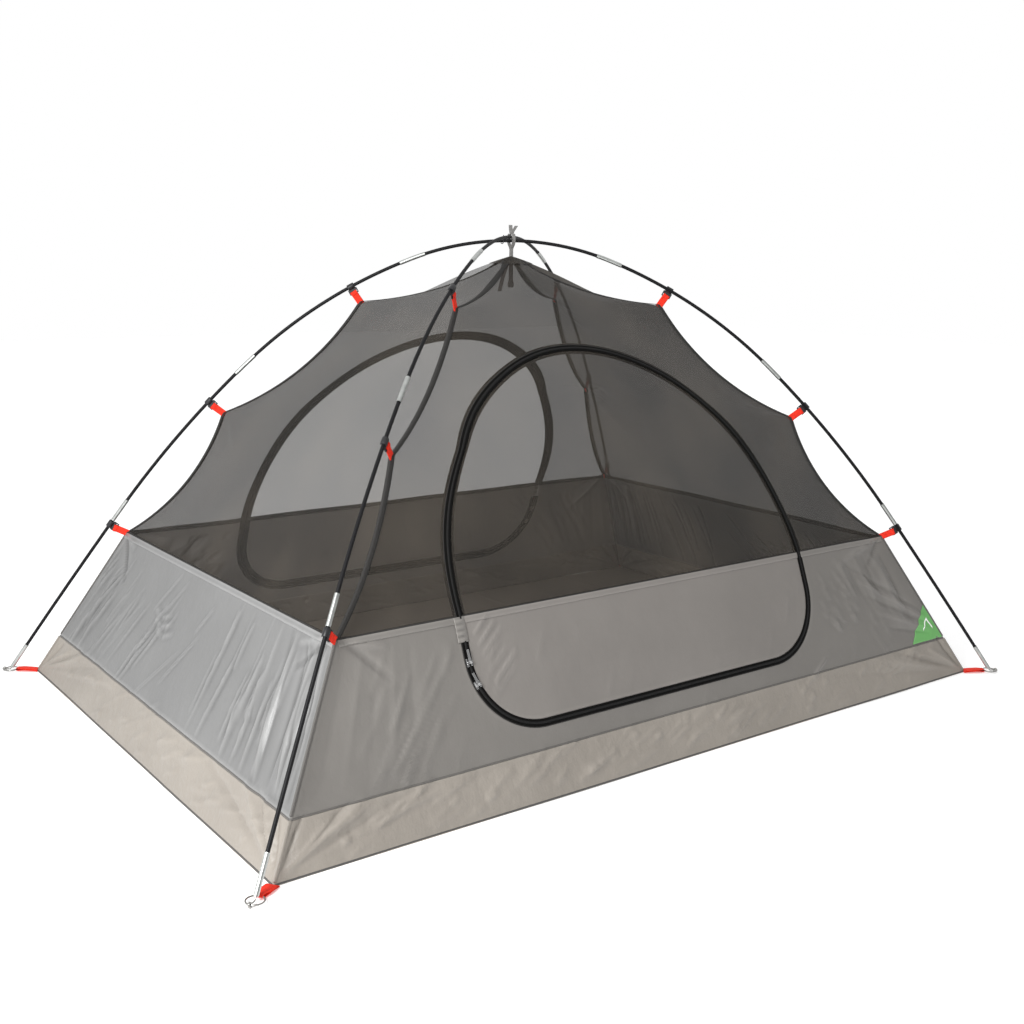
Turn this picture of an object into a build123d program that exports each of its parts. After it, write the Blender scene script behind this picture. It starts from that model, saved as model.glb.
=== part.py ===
from build123d import *
import os
from math import atan2, cos, degrees, hypot, radians, sin

# Two-person dome tent, pitched. Millimetres, +Z up, origin at the centre of the floor's underside,
# +X along the long side, -Y towards the front door. Half a turn about Z maps the tent onto itself.

# Ground plan and heights
foot_length = 2200.0  # between pole feet along X
foot_width = 1520.0  # between pole feet along Y
foot_height = 12.0  # middle of a pole foot's end above the ground
skirt_height = 99.0  # top of the bathtub skirt
panel_height = 385.0  # top of the solid lower walls
mesh_height = 1100.0  # top of the mesh, where the crown patch starts
apex_height = 1116.0  # top of the fabric
floor_reach = 1274.0  # middle of the floor to its corners

# Poles: seven sections each, bent to arcs; section 4 is the middle one
pole_radius = 4.25
bore_radius = 2.3
cord_radius = 1.5
section_length = 517.0
foot_section_length = 535.0  # last joint to the end of the foot tip
side_bends = (22.5, 10.0, 1.5)  # degrees of bend from the middle section out to the foot
crown_bends = {"pole_1": 42.2, "pole_2": 43.05}  # pole 2 crosses over pole 1
ferrule_half = 34.0
ferrule_radius = 5.3
sleeve_bore = 4.35
tip_length = 76.0
tip_socket = 36.0
tip_bore = 1.9

# Fabric
sheet = 2.0  # thickness the floor is drawn with
band_depth = 1.5  # the walls' band is drawn this far inwards and down
seam_gap = 18.0  # wall edge to leg seam
binding_depth = 8.0
binding_width = 3.0
clip_drop = 47.0  # pole axis to leg seam at a clip
clip_distances = (1339.0, 913.0, 433.0)  # along the pole from the crown, lowest first
seam_sags = (38.0, 38.0, 25.0)  # how far the seam hangs in between the clips, lowest first
floor_corner = 26.0

# Door: a rounded outline seen square to the wall, its zip, and the short seam it hangs from
door_offset = -25.0
door_half_width = 520.0
door_bottom = 150.0
door_shoulder = 380.0  # where the round top starts
door_corner = 165.0
zip_inner, zip_outer = -12.0, 6.0
tape_inner, tape_outer = 16.0, 28.0
hinge_low, hinge_high = 338.0, 380.0
hinge_line = 14.0
hinge_clearance = 0.5
tab_overlap = 5.0
slit_width = 0.4  # between the panels of a wall with a door

# Zip sliders on the lower corner of the door
slider_angles = {"upper": 3.0, "lower": 20.0}
slider_length = 16.0
slider_half_width = 7.0
slider_shift = 0.7  # the body stands a little outside the middle of the zip
slider_back, slider_face = -4.2, 2.4  # below and above the cloth
slider_channel_low, slider_channel_high = -2.4, 0.3
slider_wall = 1.4
lug_spread = 4.5
lug_thickness = 1.5
lug_height = 7.3
pin_height = 5.6
lug_length = 6.0
pin_radius = 1.0
pull_eye_radius, pull_bore_radius = 2.6, 1.4
pull_thickness = 2.0
pull_width = 6.0
pull_length = 27.0  # from the pin to the free end

# Pole clips: a hook round the pole, a plate with a slot, and the webbing tab through the slot
clip_width = 18.0
hook_inner, hook_outer = 4.6, 7.6
mouth_width = 6.0
mouth_shift = -1.0
clip_plate_width = 24.0
plate_thickness = 3.2
plate_start, plate_end = 6.1, 20.5
slot_near, slot_far = 13.5, 17.3
slot_width = 19.6
tab_web = 1.2  # thickness of one layer of webbing
tab_clearance = 0.4
tab_fold = 10.0
tab_end = 1.0  # the tab stops this far from the seam

# Corner hardware: strap with its loop, ring, and the wire pin that goes into the pole's tip
ring_height = 6.0
ring_radius = 17.25
ring_wire = 1.75
ring_gap = 3.0  # the ring's middle is this far outside the pole's foot
strap_width = 25.0
strap_tape = 2.4
strap_taper = 4.0
loop_outer, loop_inner = 4.8, 3.0
loop_half = 4.0
pin_wire = 1.5
pin_inside, pin_below = 30.0, 8.0  # how far the pin reaches into the tip and below it
pin_bend = 5.0
eye_outer, eye_inner = 5.8, 2.6
eye_half = 1.7

# Crown: patch, tape tied over the crossing, and the lantern loop under it
patch_r = 27.0
patch_top = (14.0, 10.0)
tape = 1.5
tie_width = 12.0
tie_inside = 10.5
tie_gap = 2.5
tape_end_height = 27.0
tape_end_leans = (-8, 22)
loop_drop = 62.0
loop_width = 22.0
loop_tape_width = 10.0

half_diagonal = hypot(foot_length, foot_width) / 2
along_x = foot_length / 2 / half_diagonal
along_y = foot_width / 2 / half_diagonal
reach = 1400.0  # longer than any half of the tent

legs = {"front_left": (-1, -1), "front_right": (1, -1), "rear_left": (-1, 1), "rear_right": (1, 1)}
pole_ends = {"pole_1": ("rear_left", "front_right"), "pole_2": ("front_left", "rear_right")}
walls = {"front": (0, -1), "rear": (0, 1), "left": (-1, 0), "right": (1, 0)}

os.makedirs("parts", exist_ok=True)


def save(part, name):
    """Label a finished piece and write its STEP file."""
    part.label = name
    export_step(part, f"parts/{name}.step")


# ---------------------------------------------------------------- pole curve

class Bend:
    """One arc of a pole in the upright plane of its leg: r outwards, z up."""

    def __init__(self, start, length, slope, turn, r, z):
        self.start = start
        self.end = start + length
        self.slope = slope
        self.radius = length / turn
        self.centre_r = r - self.radius * sin(slope)
        self.centre_z = z - self.radius * cos(slope)

    def at(self, distance):
        """Return r, z and the downward slope at a distance from the crown."""
        slope = self.slope + (distance - self.start) / self.radius
        return (
            self.centre_r + self.radius * sin(slope),
            self.centre_z + self.radius * cos(slope),
            slope,
        )


def bend_chain(crown_bend, crown_height):
    """Arcs from the crown down to one foot, the first being half of the middle section."""
    lengths = (section_length / 2, section_length, section_length, foot_section_length)
    turns = (crown_bend / 2, *side_bends)
    chain = []
    distance, r, z, slope = 0.0, 0.0, crown_height, 0.0
    for length, turn in zip(lengths, turns):
        bend = Bend(distance, length, slope, radians(turn), r, z)
        chain.append(bend)
        distance = bend.end
        r, z, slope = bend.at(distance)
    return chain


def standing_chain(crown_bend):
    """The chain lifted so that its foot is at foot_height."""
    chain = bend_chain(crown_bend, 0.0)
    foot_z = chain[-1].at(chain[-1].end)[1]
    return bend_chain(crown_bend, foot_height - foot_z)


def chain_point(chain, distance):
    """r, z and slope of a pole at a distance from the crown."""
    for bend in chain:
        if distance <= bend.end:
            return bend.at(distance)
    return chain[-1].at(distance)


def leg_plane(leg):
    """Upright plane of a leg: local x runs outwards, local y runs up."""
    sign_x, sign_y = legs[leg]
    outwards = Vector(sign_x * along_x, sign_y * along_y, 0)
    return Plane(origin=(0, 0, 0), x_dir=outwards, z_dir=outwards.cross(Vector(0, 0, 1)))


def cross_plane(leg, r, z, slope):
    """Plane square to a pole: local x points away from the tent, local y sideways."""
    upright = leg_plane(leg)
    origin = upright.from_local_coords(Vector(r, z, 0))
    away = upright.from_local_coords(Vector(r + sin(slope), z + cos(slope), 0)) - origin
    onward = upright.from_local_coords(Vector(r + cos(slope), z - sin(slope), 0)) - origin
    return Plane(origin=origin, x_dir=away, z_dir=onward)


def bent_tube(leg, bend, start, end, outer, inner):
    """A tube, or a rod where inner is 0, that follows one arc of a pole."""
    upright = leg_plane(leg)
    r, z, slope = bend.at(start)
    centre = upright.from_local_coords(Vector(bend.centre_r, bend.centre_z, 0))
    with BuildPart() as tube:
        with BuildSketch(cross_plane(leg, r, z, slope)):
            Circle(outer)
            if inner:
                Circle(inner, mode=Mode.SUBTRACT)
        turn = degrees((end - start) / bend.radius)
        revolve(axis=Axis(centre, -upright.z_dir), revolution_arc=turn)
    return tube.part


chains = {pole: standing_chain(bend) for pole, bend in crown_bends.items()}
mean_chain = standing_chain(sum(crown_bends.values()) / 2)
total_length = mean_chain[-1].end
leg_poles = {leg: pole for pole, ends in pole_ends.items() for leg in ends}

# ---------------------------------------------------------------- poles

for pole, (first_leg, last_leg) in pole_ends.items():
    chain = chains[pole]
    rod_end = total_length - tip_length + tip_socket
    pieces = []
    for leg in (first_leg, last_leg):
        outward = []
        for bend in chain[1:]:
            end = min(bend.end, rod_end)
            outward.append(bent_tube(leg, bend, bend.start, end, pole_radius, bore_radius))
        pieces.append(outward)
    half = section_length / 2
    middle = bent_tube(last_leg, chain[0], -half, half, pole_radius, bore_radius)
    sections = [*reversed(pieces[0]), middle, *pieces[1]]
    for number, section in enumerate(sections, start=1):
        save(section, f"{pole}_section_{number}")

ferrules = []
tips = []
shock_cords = []
for pole, ends in pole_ends.items():
    chain = chains[pole]
    half = section_length / 2
    cord_end = total_length - tip_length + 10
    with BuildPart() as shock_cord:
        add(bent_tube(ends[1], chain[0], -half, half, cord_radius, 0))
        for leg in ends:
            for bend in chain[1:]:
                add(bent_tube(leg, bend, bend.start, min(bend.end, cord_end), cord_radius, 0))
    shock_cords.append(shock_cord.part)
    for leg in ends:
        for upper, lower in zip(chain, chain[1:]):
            joint = upper.end
            with BuildPart() as ferrule:
                add(bent_tube(leg, upper, joint - ferrule_half, joint, ferrule_radius, sleeve_bore))
                add(bent_tube(leg, lower, joint, joint + ferrule_half, ferrule_radius, sleeve_bore))
            ferrules.append(ferrule.part)
        tip_start = total_length - tip_length
        stop = tip_start + tip_socket
        with BuildPart() as tip:
            add(bent_tube(leg, chain[-1], tip_start, stop, ferrule_radius, sleeve_bore))
            add(bent_tube(leg, chain[-1], stop, total_length, ferrule_radius, tip_bore))
        tips.append(tip.part)

for name, group in (("pole_ferrules", ferrules), ("pole_tips", tips), ("shock_cords", shock_cords)):
    with BuildPart() as collected:
        for piece in group:
            add(piece)
    save(collected.part, name)

# ---------------------------------------------------------------- leg seams

def seam_points():
    """Corners of the fabric's leg seam from the floor to the apex, as r and z."""
    upper = []
    for distance in clip_distances:
        r, z, slope = chain_point(mean_chain, distance)
        upper.append((r - clip_drop * sin(slope), z - clip_drop * cos(slope)))
    (r_panel, z_panel), (r_next, z_next) = upper[0], upper[1]
    r_panel += (z_panel - panel_height) * (floor_reach - r_panel) / z_panel
    return [(floor_reach, 0.0), (r_panel, panel_height), *upper[1:], (0.0, apex_height)]


def sagged_middle(start, end, sag):
    """Middle of a seam's hollow arc between two corners."""
    run, rise = end[0] - start[0], end[1] - start[1]
    chord = hypot(run, rise)
    middle_r = (start[0] + end[0]) / 2 - sag * rise / chord
    middle_z = (start[1] + end[1]) / 2 + sag * run / chord
    return middle_r, middle_z


seam = seam_points()


def seam_line(scale, shift_out=0.0, shift_up=0.0):
    """Draw the leg seam, scaled in r, in the current line builder; return its two ends."""
    def place(point):
        return point[0] * scale + shift_out, point[1] + shift_up

    Line(place(seam[0]), place(seam[1]))
    for start, end, sag in zip(seam[1:], seam[2:], seam_sags):
        ThreePointArc(place(start), place(sagged_middle(start, end, sag)), place(end))
    return place(seam[0]), place(seam[-1])


def seam_band(scale, inwards):
    """Closed band between the seam line and the same line moved inwards and down."""
    with BuildSketch() as band:
        with BuildLine():
            low, high = seam_line(scale)
            inner_low, inner_high = seam_line(scale, -inwards, -inwards)
            Line(low, inner_low)
            Line(high, inner_high)
        make_face()
        Rectangle(2 * reach, apex_height, align=(Align.CENTER, Align.MIN), mode=Mode.INTERSECT)
    return band.sketch


bindings = []
for leg in legs:
    with BuildPart() as binding:
        with BuildSketch(leg_plane(leg)):
            add(seam_band(1.0, binding_depth))
            with Locations((0, mesh_height)):
                Rectangle(reach, reach, align=(Align.CENTER, Align.MIN), mode=Mode.SUBTRACT)
        extrude(amount=binding_width / 2, both=True)
    bindings.append(binding.part)
with BuildPart() as leg_bindings:
    for piece in bindings:
        add(piece)
save(leg_bindings.part, "leg_bindings")

# ---------------------------------------------------------------- walls

def wall_planes(wall):
    """Side-view plane (x outwards, y up) and face-on plane (x along the wall, y up) of a wall."""
    outwards = Vector(*walls[wall], 0)
    along = Vector(0, 0, 1).cross(outwards)
    side_view = Plane(origin=(0, 0, 0), x_dir=outwards, z_dir=-along)
    face_on = Plane(origin=(0, 0, 0), x_dir=along, z_dir=outwards)
    return side_view, face_on


def wall_scales(wall):
    """Shares of r that a wall stands out from the middle and runs along."""
    if walls[wall][0]:
        return along_x, along_y
    return along_y, along_x


def wall_sheet(wall, outline):
    """The bent sheet of one wall, cut to an outline drawn face-on."""
    side_view, face_on = wall_planes(wall)
    with BuildPart() as panel:
        with BuildSketch(side_view):
            add(seam_band(wall_scales(wall)[0], band_depth))
        extrude(amount=reach, both=True)
        with BuildSketch(face_on) as cut:
            add(outline)
        extrude(cut.sketch, amount=reach, mode=Mode.INTERSECT)
    return panel.part


def wall_outline(wall, low, high):
    """Face-on outline of a wall between two heights, set in from the leg seams."""
    scale = wall_scales(wall)[1]
    with BuildSketch() as inside_seam:
        with BuildLine():
            low_end, high_end = seam_line(scale, -seam_gap)
            Polyline(low_end, (-reach, 0), (-reach, apex_height), high_end)
        make_face()
    with BuildSketch() as outline:
        add(inside_seam.sketch)
        add(inside_seam.sketch.mirror(Plane.YZ), mode=Mode.INTERSECT)
        with Locations((0, low)):
            Rectangle(2 * reach, high - low, align=(Align.CENTER, Align.MIN), mode=Mode.INTERSECT)
    return outline.sketch


# Slope of the straight lower part of the front and rear walls
wall_foot = seam[0][0] * along_y
wall_panel = seam[1][0] * along_y
wall_lean = atan2(panel_height, wall_foot - wall_panel)
upper_lean = atan2(seam[3][1] - seam[2][1], (seam[2][0] - seam[3][0]) * along_y)
left_edge = door_offset - door_half_width


def door_outline(grow):
    """Face-on outline of the door moved out by grow, measured along the cloth."""
    half_width = door_half_width + grow
    top_rise = door_half_width + grow * sin(upper_lean)
    corner_x = door_half_width - door_corner
    corner_z = door_bottom + door_corner * sin(wall_lean)
    corner_rx = door_corner + grow
    corner_rz = corner_rx * sin(wall_lean)
    bottom = corner_z - corner_rz
    left, right = door_offset - corner_x, door_offset + corner_x
    with BuildSketch() as outline:
        with BuildLine():
            EllipticalCenterArc((door_offset, door_shoulder), half_width, top_rise, 0, arc_size=180)
            Line((door_offset - half_width, door_shoulder), (door_offset - half_width, corner_z))
            EllipticalCenterArc((left, corner_z), corner_rx, corner_rz, 180, arc_size=90)
            Line((left, bottom), (right, bottom))
            EllipticalCenterArc((right, corner_z), corner_rx, corner_rz, 270, arc_size=90)
            Line((door_offset + half_width, corner_z), (door_offset + half_width, door_shoulder))
        make_face()
    return outline.sketch


def corner_slits():
    """Fine slits from the door's low corners outwards, along which the wall's panels meet."""
    corner_x = door_half_width - door_corner
    corner_z = door_bottom + door_corner * sin(wall_lean)
    with BuildSketch() as slits:
        for side in (-1, 1):
            with Locations((door_offset + side * corner_x, corner_z)):
                for turn in (0, 45):
                    direction = -90 + side * turn
                    Rectangle(reach, slit_width, rotation=direction, align=(Align.MIN, Align.CENTER))
    return slits.sketch


def band_sketch(low, high):
    """Horizontal strip wider than any wall."""
    with BuildSketch() as strip:
        with Locations((0, low)):
            Rectangle(2 * reach, high - low, align=(Align.CENTER, Align.MIN))
    return strip.sketch


def hinge_tab(from_grow, to_grow, spare=0.0):
    """Strip of cloth across the door's edge at the seam it hangs from."""
    height = hinge_high - hinge_low + 2 * spare
    with BuildSketch() as strip:
        with Locations((left_edge - to_grow, hinge_low - spare)):
            Rectangle(to_grow - from_grow, height, align=(Align.MIN, Align.MIN))
    return strip.sketch


plain_panels = {
    "lower_wall": (skirt_height, panel_height),
    "mesh": (panel_height, mesh_height),
}
for wall in ("left", "right"):
    for name, (low, high) in plain_panels.items():
        save(wall_sheet(wall, wall_outline(wall, low, high)), f"{wall}_{name}")

for wall in ("front", "rear"):
    for name, (low, high) in plain_panels.items():
        with BuildSketch() as outline:
            add(wall_outline(wall, low, high))
            add(door_outline(tape_outer), mode=Mode.SUBTRACT)
            if name == "lower_wall":
                add(hinge_tab(hinge_line + hinge_clearance, tape_outer + tab_overlap))
                add(corner_slits(), mode=Mode.SUBTRACT)
        save(wall_sheet(wall, outline.sketch), f"{wall}_{name}")

    with BuildSketch() as door_panel:
        add(door_outline(zip_inner))
        add(band_sketch(0, panel_height), mode=Mode.INTERSECT)
        add(hinge_tab(zip_inner - tab_overlap, hinge_line - hinge_clearance))
    save(wall_sheet(wall, door_panel.sketch), f"{wall}_door_panel")

    with BuildSketch() as door_mesh:
        add(door_outline(zip_inner))
        add(band_sketch(panel_height, mesh_height), mode=Mode.INTERSECT)
    save(wall_sheet(wall, door_mesh.sketch), f"{wall}_door_mesh")

    with BuildSketch() as door_zip:
        add(door_outline(zip_outer))
        add(door_outline(zip_inner), mode=Mode.SUBTRACT)
        add(hinge_tab(zip_inner - tab_overlap, tape_outer), mode=Mode.SUBTRACT)
    save(wall_sheet(wall, door_zip.sketch), f"{wall}_door_zip")

    with BuildSketch() as frame_tape:
        add(door_outline(tape_outer))
        add(door_outline(tape_inner), mode=Mode.SUBTRACT)
        add(hinge_tab(zip_inner, tape_outer + tab_overlap), mode=Mode.SUBTRACT)
    save(wall_sheet(wall, frame_tape.sketch), f"{wall}_wall_zip_tape")

skirts = [wall_sheet(wall, wall_outline(wall, sheet, skirt_height)) for wall in walls]
with BuildPart() as bathtub_skirt:
    for piece in skirts:
        add(piece)
save(bathtub_skirt.part, "bathtub_skirt")

with BuildPart() as floor_sheet:
    with BuildSketch() as floor_outline:
        Rectangle(2 * seam[0][0] * along_x, 2 * seam[0][0] * along_y)
        chamfer(floor_outline.vertices(), floor_corner)
    extrude(amount=sheet)
save(floor_sheet.part, "floor_sheet")

# ---------------------------------------------------------------- crown

crown_low = chains["pole_1"][0].at(0)[1]
crown_high = chains["pole_2"][0].at(0)[1]
with BuildPart() as crown_patch:
    with BuildSketch(Plane.XY.offset(mesh_height)):
        Rectangle(2 * patch_r * along_x, 2 * patch_r * along_y)
    with BuildSketch(Plane.XY.offset(apex_height)):
        Rectangle(*patch_top)
    loft()
save(crown_patch.part, "crown_patch")

tie_low = crown_low - pole_radius - tie_gap
tie_high = crown_high + pole_radius + tie_gap
with BuildPart() as crown_tie:
    with BuildSketch(Plane.YZ):
        with Locations((0, (tie_low + tie_high) / 2)):
            Rectangle(2 * (tie_inside + tape), tie_high - tie_low + 2 * tape)
            Rectangle(2 * tie_inside, tie_high - tie_low, mode=Mode.SUBTRACT)
        with Locations((0, apex_height)):
            Rectangle(2 * tape, tie_low - apex_height, align=(Align.CENTER, Align.MIN))
        for lean in tape_end_leans:
            with Locations(Location((0, tie_high + tape / 2), lean)):
                Rectangle(tape, tape_end_height, align=(Align.CENTER, Align.MIN))
    extrude(amount=tie_width / 2, both=True)
save(crown_tie.part, "crown_tie")

with BuildPart() as lantern_loop:
    with BuildSketch(Plane.YZ):
        with Locations((0, mesh_height - loop_drop / 2)):
            SlotOverall(loop_drop, loop_width, rotation=90)
            SlotOverall(loop_drop - 2 * tape, loop_width - 2 * tape, rotation=90, mode=Mode.SUBTRACT)
    extrude(amount=loop_tape_width / 2, both=True)
save(lantern_loop.part, "lantern_loop")

# ---------------------------------------------------------------- clips

fold_start = slot_near + tab_clearance
tab_inside = plate_thickness + 2 * tab_clearance  # between the two layers of a tab's fold
tab_start = fold_start + tab_fold
inwards = (Align.MAX, Align.CENTER)  # a rectangle from its location towards the tent
clip_tabs = []
for leg in legs:
    chain = chains[leg_poles[leg]]
    hooks = []
    for distance, (seam_r, seam_z) in zip(clip_distances, seam[1:4]):
        r, z, slope = chain_point(chain, distance)
        plane = cross_plane(leg, r, z, slope)
        seam_depth = (r - seam_r) * sin(slope) + (z - seam_z) * cos(slope)
        with BuildPart() as clip:
            with BuildSketch(plane):
                Circle(hook_outer)
                Circle(hook_inner, mode=Mode.SUBTRACT)
                with Locations((mouth_shift, hook_outer / 2)):
                    Rectangle(mouth_width, hook_outer, mode=Mode.SUBTRACT)
            extrude(amount=clip_width / 2, both=True)
            with BuildSketch(plane):
                with Locations((-plate_start, 0)):
                    Rectangle(plate_end - plate_start, plate_thickness, align=inwards)
            extrude(amount=clip_plate_width / 2, both=True)
            with BuildSketch(plane):
                with Locations((-slot_near, 0)):
                    Rectangle(slot_far - slot_near, 2 * plate_thickness, align=inwards)
            extrude(amount=slot_width / 2, both=True, mode=Mode.SUBTRACT)
        hooks.append(clip.part)
        with BuildPart() as tab:
            with BuildSketch(plane):
                with Locations((-fold_start, 0)):
                    Rectangle(tab_fold, tab_inside + 2 * tab_web, align=inwards)
                with Locations((-fold_start - tab_web, 0)):
                    Rectangle(tab_fold - 2 * tab_web, tab_inside, align=inwards, mode=Mode.SUBTRACT)
                with Locations((-tab_start, 0)):
                    Rectangle(seam_depth - tab_start - tab_end, 2 * tab_web, align=inwards)
            extrude(amount=clip_width / 2, both=True)
        clip_tabs.append(tab.part)
    with BuildPart() as leg_clips:
        for piece in hooks:
            add(piece)
    save(leg_clips.part, f"{leg}_pole_clips")
with BuildPart() as all_tabs:
    for piece in clip_tabs:
        add(piece)
save(all_tabs.part, "clip_tabs")

# ---------------------------------------------------------------- corners

corner_straps = []
corner_rings = []
corner_pins = []
for leg in legs:
    chain = chains[leg_poles[leg]]
    upright = leg_plane(leg)
    foot_r, foot_z, slope = chain_point(chain, total_length)
    ring_r = foot_r + ring_gap
    near_wire = ring_r - ring_radius
    far_wire = ring_r + ring_radius
    outwards = upright.x_dir
    flat = Plane(origin=(0, 0, ring_height), x_dir=outwards, z_dir=(0, 0, 1))
    with BuildPart() as ring:
        with BuildSketch(upright):
            with Locations((ring_r + ring_radius, ring_height)):
                Circle(ring_wire)
        revolve(axis=Axis(upright.from_local_coords(Vector(ring_r, 0, 0)), (0, 0, 1)))
    corner_rings.append(ring.part)

    with BuildPart() as strap:
        with BuildSketch(upright):
            with Locations((near_wire, ring_height)):
                Circle(loop_outer)
                Circle(loop_inner, mode=Mode.SUBTRACT)
        extrude(amount=loop_half, both=True)
        with BuildSketch(flat.offset(-strap_tape / 2)):
            with BuildLine():
                inner_end = seam[0][0] + 1
                neck = near_wire - loop_outer - strap_taper
                outer_end = near_wire - (loop_inner + loop_outer) / 2
                Polyline(
                    (inner_end, strap_width / 2),
                    (neck, strap_width / 2),
                    (outer_end, loop_half),
                    (outer_end, -loop_half),
                    (neck, -strap_width / 2),
                    (inner_end, -strap_width / 2),
                    close=True,
                )
            make_face()
        extrude(amount=strap_tape)
    corner_straps.append(strap.part)

    inside = (foot_r - pin_inside * cos(slope), foot_z + pin_inside * sin(slope))
    below = (foot_r + pin_below * cos(slope), foot_z - pin_below * sin(slope))
    eye_edge = (far_wire - eye_outer + pin_wire, ring_height)
    with BuildPart() as pin:
        with BuildLine(upright) as pin_line:
            FilletPolyline(inside, below, eye_edge, radius=pin_bend)
        with BuildSketch(cross_plane(leg, inside[0], inside[1], slope)):
            Circle(pin_wire)
        sweep(path=pin_line.wires()[0])
        with BuildSketch(upright):
            with Locations((far_wire, ring_height)):
                Circle(eye_outer)
                Circle(eye_inner, mode=Mode.SUBTRACT)
        extrude(amount=eye_half, both=True)
    corner_pins.append(pin.part)

for name, group in (
    ("corner_rings", corner_rings),
    ("corner_straps", corner_straps),
    ("corner_pins", corner_pins),
):
    with BuildPart() as collected:
        for piece in group:
            add(piece)
    save(collected.part, name)

# ---------------------------------------------------------------- zip sliders

corner_centre_x = left_edge + door_corner
corner_centre_z = door_bottom + door_corner * sin(wall_lean)


def wall_surface(wall, x, z):
    """Point on the outer face of the straight part of a door wall."""
    out = wall_foot - z * cos(wall_lean) / sin(wall_lean)
    return wall_planes(wall)[1].from_local_coords(Vector(x, z, out))


def corner_plane(wall):
    """Plane on the cloth with its origin at the centre of the door's lower left corner arc."""
    face_on = wall_planes(wall)[1]
    outwards = face_on.z_dir * sin(wall_lean) + Vector(0, 0, 1) * cos(wall_lean)
    origin = wall_surface(wall, corner_centre_x, corner_centre_z)
    return Plane(origin=origin, x_dir=face_on.x_dir, z_dir=outwards)


def slider_plane(wall, angle):
    """Upright cut through the zip: local x away from the arc's centre, local y out of the cloth."""
    base = corner_plane(wall)
    away = base.from_local_coords(Vector(-cos(radians(angle)), -sin(radians(angle)), 0)) - base.origin
    onward = away.cross(base.z_dir)
    return Plane(origin=base.origin, x_dir=away, z_dir=onward)


slider_turn = degrees(slider_length / door_corner)
slider_outer = door_corner + slider_half_width + slider_shift
channel_height = slider_channel_high - slider_channel_low
lug_foot = slider_face - 0.2
inwards_up = (Align.MAX, Align.MIN)
for wall in ("front", "rear"):
    for name, angle in slider_angles.items():
        start = slider_plane(wall, angle - slider_turn / 2)
        base = corner_plane(wall)
        centre = slider_plane(wall, angle)
        lug_axis = Plane(
            origin=centre.from_local_coords(Vector(door_corner, pin_height, 0)),
            x_dir=centre.z_dir,
            z_dir=centre.x_dir,
        )
        with BuildPart() as slider:
            with BuildSketch(start):
                with Locations((slider_outer, slider_back)):
                    Rectangle(2 * slider_half_width, slider_face - slider_back, align=inwards_up)
                with Locations((slider_outer - slider_wall, slider_channel_low)):
                    Rectangle(2 * slider_half_width, channel_height, align=inwards_up, mode=Mode.SUBTRACT)
            revolve(axis=Axis(base.origin, base.z_dir), revolution_arc=slider_turn)
            with BuildSketch(centre):
                with Locations(
                    (door_corner - lug_spread, lug_foot),
                    (door_corner + lug_spread, lug_foot),
                ):
                    Rectangle(lug_thickness, lug_height - lug_foot, align=(Align.CENTER, Align.MIN))
            extrude(amount=lug_length / 2, both=True)
            with BuildSketch(lug_axis):
                Circle(pin_radius)
            extrude(amount=lug_spread + lug_thickness / 2, both=True)
        save(slider.part, f"{wall}_{name}_slider")

        # The pull hangs from the slider's pin along the zip, away from the hinge seam.
        with BuildPart() as pull:
            with BuildSketch(lug_axis):
                Circle(pull_eye_radius)
                Rectangle(pull_length, pull_thickness, align=(Align.MIN, Align.CENTER))
                Circle(pull_bore_radius, mode=Mode.SUBTRACT)
            extrude(amount=pull_width / 2, both=True)
        save(pull.part, f"{wall}_{name}_pull")

# Joint axes, in the part's frame
hinge_point = wall_surface("front", left_edge - hinge_line, (hinge_low + hinge_high) / 2)
print("front door hinge through", hinge_point, "along", Vector(0, -cos(wall_lean), -sin(wall_lean)))
for name, angle in slider_angles.items():
    centre = slider_plane("front", angle)
    pin = centre.from_local_coords(Vector(door_corner, pin_height, 0))
    print("front", name, "slider turns about", centre.origin, "along", corner_plane("front").z_dir)
    print("front", name, "pull turns about", pin, "along", -centre.x_dir)
print("leg seam corners, r and z:", [(round(r, 1), round(z, 1)) for r, z in seam])
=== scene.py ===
"""Looks of a two-person dome tent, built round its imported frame. Metres, +Z up, front door towards -Y."""
from math import cos, hypot, pi, radians, sin

import bpy
import numpy as np
from mathutils import Matrix, Vector


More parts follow.
